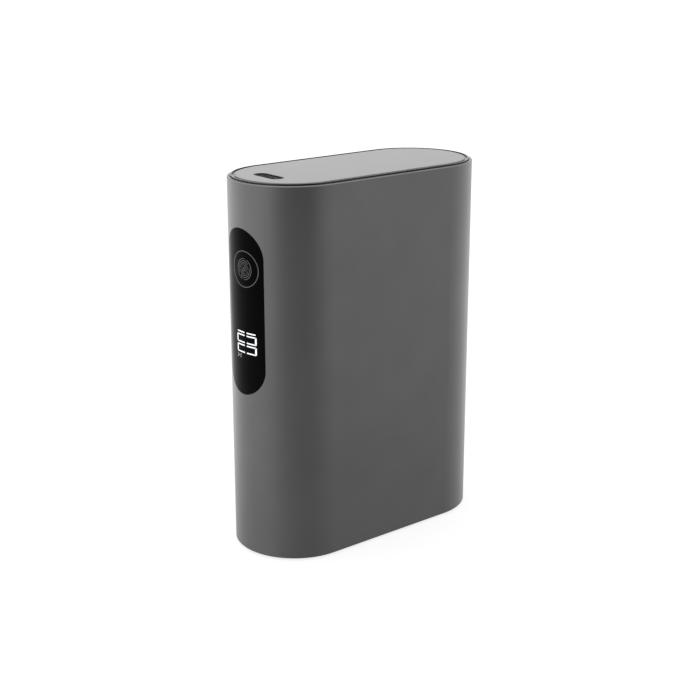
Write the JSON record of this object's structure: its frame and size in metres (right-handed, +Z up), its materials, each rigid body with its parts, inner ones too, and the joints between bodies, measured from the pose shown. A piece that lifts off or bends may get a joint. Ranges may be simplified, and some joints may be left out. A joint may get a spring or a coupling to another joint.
{
  "type": "power station",
  "caption": "Pocket power station: obround metal sleeve with a dark touch and charge-gauge window, a top socket and an internal battery pack.",
  "frame": {"origin": "centre of the foot ring's underside, on the surface the object stands on", "axes": "+Z up towards the socket, -Y towards the control window, X across the narrow way"},
  "size_m": [0.0334, 0.074, 0.1009],
  "materials": {
    "anodised_sleeve": "satin anodised, dark grey",
    "anodised_cover": "satin anodised, slightly lighter, softened edge",
    "moulded_cover": "fine texture, dark grey",
    "black_plastic": "fine texture, black",
    "window_black": "gloss, back-printed black",
    "lit_white": "translucent, lit",
    "ring_grey": "printed, half lit",
    "percent_grey": "translucent, dimly lit",
    "tray_black": "satin black, polished border",
    "silicone_dark": "matt silicone",
    "tape_black": "foam tape",
    "foam_grey": "closed-cell foam",
    "steel_screw": "zinc plated, dark",
    "steel_shell": "drawn, nickel plated",
    "contact_gold": "gold flash",
    "tab_nickel": "nickel strip",
    "board_green": "solder mask over glass fibre",
    "chip_black": "moulded",
    "ferrite_grey": "pressed powder",
    "capacitor_metal": "drawn can",
    "module_white": "moulded, white",
    "sensor_dark": "lacquered",
    "flex_amber": "polyimide film",
    "chassis_grey": "glass-filled, dark grey",
    "cell_foil": "pouch laminate",
    "lead_red": "silicone insulation",
    "lead_black": "silicone insulation"
  },
  "bodies": {
    "root": {"case_sleeve": "anodised_sleeve", "top_cover": "anodised_cover", "bottom_cover": "moulded_cover", "foot_ring": "silicone_dark", "top_glue": "tape_black", "bottom_glue": "tape_black", "top_frame": "tray_black", "bottom_frame": "tray_black", "top_screws": "steel_screw", "bottom_screws": "steel_screw", "display_lens": "window_black", "sensor_ring": "ring_grey", "gauge_light_guides": "lit_white", "percent_light_guides": "percent_grey", "lens_glue": "tape_black", "lens_carrier": "black_plastic", "touch_sensor": "sensor_dark", "sensor_flex": "flex_amber", "flex_socket": "module_white", "gauge_module": "module_white", "gauge_lamps": "lit_white", "main_board": "board_green", "board_screws": "steel_screw", "controller_chips": "chip_black", "power_transistors": "chip_black", "power_inductors": "ferrite_grey", "board_capacitors": "capacitor_metal", "usb_shell": "steel_shell", "usb_tongue": "black_plastic", "usb_contacts": "contact_gold", "usb_collar": "black_plastic", "chassis_left": "chassis_grey", "chassis_right": "chassis_grey", "chassis_screws": "steel_screw", "battery_cell_left": "cell_foil", "battery_cell_middle": "cell_foil", "battery_cell_right": "cell_foil", "cell_tabs": "tab_nickel", "cell_tapes": "tape_black", "side_foam": "foam_grey", "floor_foam": "foam_grey", "end_foam": "foam_grey", "guard_board": "board_green", "guard_chips": "chip_black", "positive_lead": "lead_red", "negative_lead": "lead_black"}
  },
  "joints": []
}
